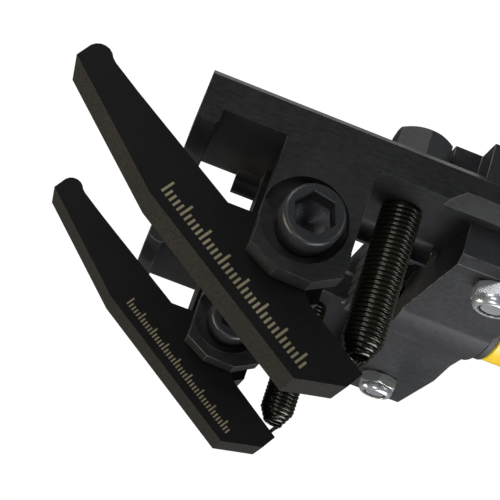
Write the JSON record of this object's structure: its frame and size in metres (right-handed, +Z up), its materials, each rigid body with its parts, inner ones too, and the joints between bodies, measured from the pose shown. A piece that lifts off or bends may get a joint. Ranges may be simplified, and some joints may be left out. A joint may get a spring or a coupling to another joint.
{
  "type": "hydraulic bead breaker",
  "caption": "Hydraulic bead breaker with two hooked jaw bars, a sprung hook arm in each, and a ram between them with a tilting push foot.",
  "frame": {"origin": "on the arms' common pivot axis, midway across the tool's overall width", "axes": "+X from the hooked jaws to the cylinder's base, +Y from the near jaw to the far jaw along the pivot axis, +Z up through the bars"},
  "size_m": [0.4476, 0.2665, 0.2032],
  "materials": {
    "black_oxide_steel": "satin black oxide, lightly worn edges",
    "arm_black_steel": "satin near-black oxide",
    "spring_steel": "glossy oiled black",
    "zinc_plate": "bright zinc plate",
    "bronze": "plain bearing bronze",
    "yellow_paint": "gloss yellow paint",
    "ground_steel": "hard chromed and ground",
    "black_rubber": "matt rubber",
    "seal_rubber": "matt"
  },
  "bodies": {
    "frame": {"near_jaw_bar": "black_oxide_steel", "far_jaw_bar": "black_oxide_steel", "near_pivot_screw": "black_oxide_steel", "far_pivot_screw": "black_oxide_steel", "pivot_nut_washers": "zinc_plate", "pivot_nuts": "zinc_plate", "near_arm_spring": "spring_steel", "far_arm_spring": "spring_steel", "near_anchor_bolt": "black_oxide_steel", "far_anchor_bolt": "black_oxide_steel", "anchor_washers": "black_oxide_steel", "top_plate": "black_oxide_steel", "bottom_plate": "black_oxide_steel", "centre_block": "black_oxide_steel", "block_screws": "black_oxide_steel", "tie_bolts": "zinc_plate", "tie_bolt_washers": "zinc_plate", "tie_nuts": "zinc_plate", "ram_guide_bush": "bronze", "cylinder_barrel": "yellow_paint", "barrel_gland": "black_oxide_steel", "gland_seal": "seal_rubber", "barrel_base": "black_oxide_steel", "return_spring": "spring_steel", "coupler_nipple": "zinc_plate", "carry_handle": "black_oxide_steel", "handle_grip": "black_rubber", "clamp_halves": "black_oxide_steel", "clamp_screws": "zinc_plate"},
    "near_arm": {"near_arm": "arm_black_steel", "near_pivot_bush": "bronze", "near_thrust_washers": "bronze", "near_spring_pin": "zinc_plate"},
    "far_arm": {"far_arm": "arm_black_steel", "far_pivot_bush": "bronze", "far_thrust_washers": "bronze", "far_spring_pin": "zinc_plate"},
    "ram": {"ram": "ground_steel", "piston": "black_oxide_steel", "piston_seal": "seal_rubber", "piston_nut": "black_oxide_steel", "foot_pin": "zinc_plate"},
    "push_foot": {"push_foot": "black_oxide_steel"},
    "coupler_ring": {"coupler_ring": "zinc_plate"},
    "dust_cap": {"dust_cap": "black_rubber"}
  },
  "joints": [
    {"name": "near_arm_hinge", "type": "hinge", "parent": "frame", "child": "near_arm", "pos_m": [0, -0.0914, 0], "axis": [0, 1, 0], "range_deg": [0, 8], "stiffness_Nm_per_rad": 2.5, "springref_deg": -18.33, "deforming": ["near_arm_spring"]},
    {"name": "far_arm_hinge", "type": "hinge", "parent": "frame", "child": "far_arm", "pos_m": [0, 0.0672, 0], "axis": [0, 1, 0], "range_deg": [0, 8], "stiffness_Nm_per_rad": 2.5, "springref_deg": -18.33, "deforming": ["far_arm_spring"]},
    {"name": "ram_slide", "type": "slide", "parent": "frame", "child": "ram", "axis": [-1, 0, 0], "range_m": [0, 0.11], "stiffness_N_per_m": 600, "springref_m": -0.05, "deforming": ["return_spring"]},
    {"name": "foot_tilt", "type": "hinge", "parent": "ram", "child": "push_foot", "pos_m": [0.064, -0.0099, 0.04075], "axis": [0, 1, 0], "range_deg": [-8, 8]},
    {"name": "coupler_ring_turn", "type": "hinge", "parent": "frame", "child": "coupler_ring", "pos_m": [0.322, -0.0099, 0.08775], "axis": [0, 0, 1], "continuous": true},
    {"name": "dust_cap_pull", "type": "slide", "parent": "frame", "child": "dust_cap", "axis": [0, 0, 1], "range_m": [0, 0.02]}
  ]
}
